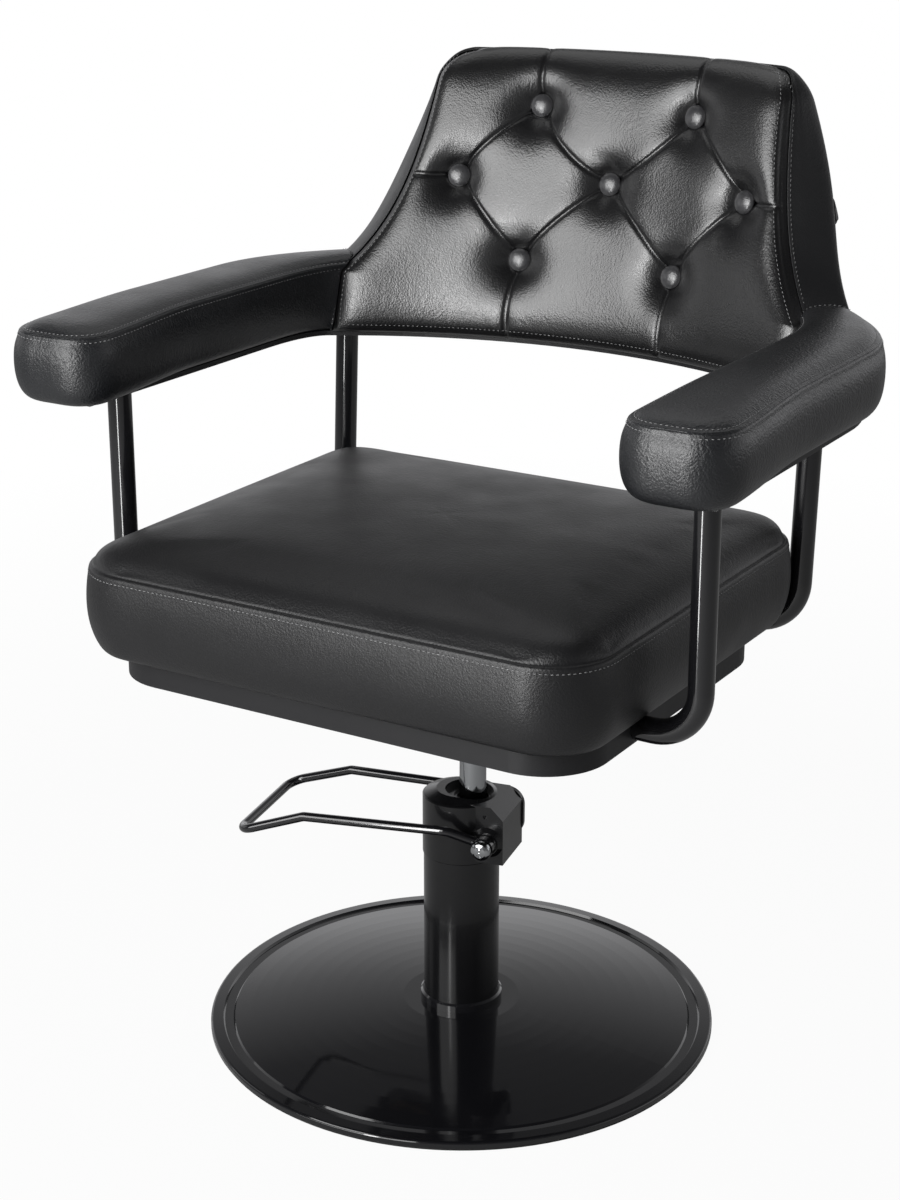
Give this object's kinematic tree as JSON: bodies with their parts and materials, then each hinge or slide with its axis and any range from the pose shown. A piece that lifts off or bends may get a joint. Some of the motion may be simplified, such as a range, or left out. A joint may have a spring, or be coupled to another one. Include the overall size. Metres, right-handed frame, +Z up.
{
  "type": "hairdressing chair",
  "caption": "Hydraulic salon chair with a round base, foot lever, swivelling seat, tube frame, box arms and a curved button-tufted back.",
  "frame": {"origin": "centre of the round base's underside, on the floor and on the axis of the pump tube", "axes": "+Z up; the chair faces -Y; +X is to the right of a viewer who stands in front of it; the rest pose is the picture's, with the seat part way up and facing -Y"},
  "size_m": [0.7537, 0.6262, 0.95],
  "materials": {
    "gloss_black_paint": "glossy",
    "satin_black_paint": "satin",
    "grey_black_paint": "satin",
    "rubber": "matte",
    "cast_iron": "rough",
    "plain_steel": "satin",
    "brass": "satin",
    "chrome": "polished",
    "plywood": "matte",
    "black_leather": "satin grain"
  },
  "bodies": {
    "base": {"base_plate": "gloss_black_paint", "base_ring": "rubber", "centre_foot": "rubber", "ballast_disc": "cast_iron", "foot_flange": "grey_black_paint", "flange_bolts": "plain_steel", "foot_collar": "gloss_black_paint", "pump_tube": "satin_black_paint", "tube_cap": "grey_black_paint", "pump_head": "satin_black_paint", "inner_cylinder": "plain_steel", "guide_bush": "brass", "wiper_seal": "rubber", "gland_ring": "satin_black_paint", "shaft_bushes": "brass", "plunger_plug": "plain_steel", "plunger_spring": "plain_steel", "block_screw": "satin_black_paint"},
    "lift": {"piston_head": "plain_steel", "piston_seal": "rubber"},
    "plunger": {"plunger": "plain_steel"},
    "lever": {"lever_bar": "gloss_black_paint", "lever_hubs": "gloss_black_paint", "lever_shaft": "plain_steel", "lever_caps": "chrome", "lever_cam": "plain_steel"},
    "seat": {"lift_rod": "chrome", "rod_clip": "plain_steel", "mount_hub": "satin_black_paint", "mount_plate": "satin_black_paint", "mount_bolts": "plain_steel", "seat_pan": "grey_black_paint", "seat_block": "plywood", "seat_board": "plywood", "seat_cushion": "black_leather", "front_cross_tube": "gloss_black_paint", "rear_cross_tube": "gloss_black_paint", "rear_lugs": "grey_black_paint", "lug_screws": "plain_steel", "tube_spigots": "plain_steel", "left_front_upright": "gloss_black_paint", "right_front_upright": "gloss_black_paint", "left_rear_upright": "gloss_black_paint", "right_rear_upright": "gloss_black_paint", "arm_rail": "grey_black_paint", "rail_screws": "plain_steel", "left_arm_core": "plywood", "right_arm_core": "plywood", "left_arm_pad": "black_leather", "right_arm_pad": "black_leather", "back_board": "plywood", "back_pad": "black_leather", "back_cover": "black_leather", "back_buttons": "black_leather", "rear_grip": "black_leather"}
  },
  "joints": [
    {"name": "lift_slide", "type": "slide", "parent": "base", "child": "lift", "axis": [0, 0, 1], "range_m": [-0.11, 0.05]},
    {"name": "seat_swivel", "type": "hinge", "parent": "lift", "child": "seat", "pos_m": [0.01178, 0.00229, 0.136], "axis": [0, 0, 1], "continuous": true},
    {"name": "lever_hinge", "type": "hinge", "parent": "base", "child": "lever", "pos_m": [0.03779, 0.00735, 0.216], "axis": [0.1908, -0.9816, 0], "range_deg": [0, 24], "stiffness_Nm_per_rad": 2, "springref_deg": -34.38},
    {"name": "plunger_slide", "type": "slide", "parent": "base", "child": "plunger", "axis": [0, 0, 1], "range_m": [0, 0.0035], "deforming": ["plunger_spring"]}
  ],
  "couplings": [
    {"joint": "plunger_slide", "follows": "lever_hinge", "m_per_rad": 0.008}
  ]
}
